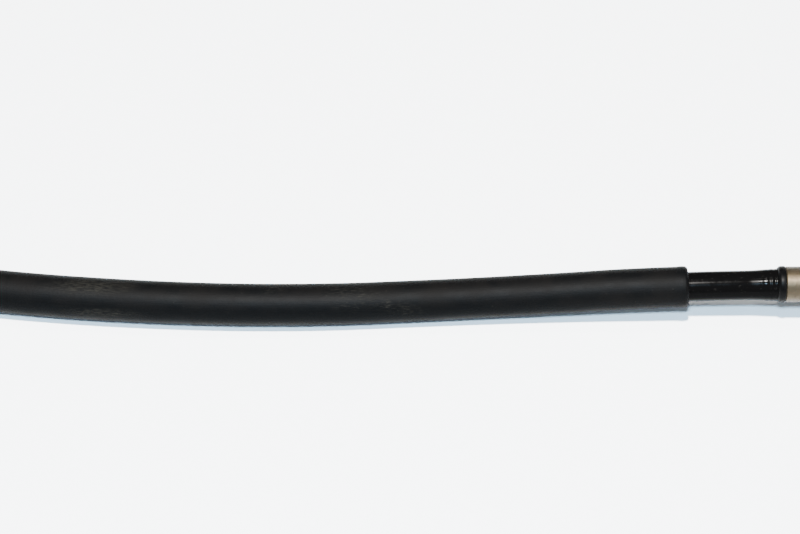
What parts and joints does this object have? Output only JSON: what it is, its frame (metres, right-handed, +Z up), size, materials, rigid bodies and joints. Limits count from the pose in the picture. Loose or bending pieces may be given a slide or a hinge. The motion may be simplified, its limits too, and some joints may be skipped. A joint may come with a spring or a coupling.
{
  "type": "cable shutter release",
  "caption": "Mechanical cable release: a sprung thumb plunger with a lock screw drives a pin out of the threaded swivel tip of a rubber-sleeved cable.",
  "frame": {"origin": "on the surface that the handle lies on, under the middle of the handle without its cable", "axes": "+Z up; the handle's axis is along X with the thumb button towards +X, and the cable leaves towards -X"},
  "size_m": [0.1866, 0.0771, 0.0135],
  "materials": {
    "nickel": "worn nickel plate on brass",
    "aged_brass": "dulled, brown with age",
    "bright_brass": "machined",
    "steel": "drawn wire",
    "sleeve_rubber": "matte, dusty",
    "lip_rubber": "satin",
    "sheath_gloss": "glossy black",
    "button_black": "polished black moulding"
  },
  "bodies": {
    "release": {"barrel": "nickel", "finger_plate": "nickel", "bush_washer": "bright_brass", "guide_bush": "nickel", "lock_boss": "nickel", "handle_ferrule": "aged_brass", "handle_lip": "lip_rubber", "spring_seat": "bright_brass", "return_spring": "steel", "outer_sleeve": "sleeve_rubber", "inner_sheath": "sheath_gloss", "cable_conduit": "steel", "push_wire": "steel", "tip_lip": "lip_rubber", "tip_ferrule": "aged_brass", "tip_spindle": "bright_brass"},
    "plunger": {"plunger_stem": "steel", "stop_collar": "bright_brass", "wire_anchor": "bright_brass", "drive_wire": "steel", "thumb_button": "button_black"},
    "lock_shoe": {"lock_pad": "bright_brass"},
    "lock_knob": {"lock_screw": "nickel"},
    "shutter_pin": {"release_pin": "steel"},
    "tip_swivel": {"swivel_collar": "nickel", "retaining_ring": "steel"}
  },
  "joints": [
    {"name": "plunger_slide", "type": "slide", "parent": "release", "child": "plunger", "axis": [-1, 0, 0], "range_m": [0, 0.008], "stiffness_N_per_m": 150, "springref_m": -0.006, "deforming": ["return_spring"]},
    {"name": "pin_slide", "type": "slide", "parent": "release", "child": "shutter_pin", "axis": [1, 0, 0], "range_m": [0, 0.008]},
    {"name": "lock_travel", "type": "slide", "parent": "release", "child": "lock_shoe", "axis": [0, 0, -1], "range_m": [0, 0.0003]},
    {"name": "lock_turn", "type": "hinge", "parent": "lock_shoe", "child": "lock_knob", "pos_m": [0.0068, 0, 0.0125], "axis": [0, 0, -1], "range_deg": [0, 270.1]},
    {"name": "swivel_turn", "type": "hinge", "parent": "release", "child": "tip_swivel", "pos_m": [-0.0889, 0.0636, 0.00355], "axis": [1, 0, 0], "continuous": true}
  ],
  "couplings": [
    {"joint": "pin_slide", "follows": "plunger_slide", "ratio": 1},
    {"joint": "lock_turn", "follows": "lock_travel", "rad_per_m": 15708}
  ]
}
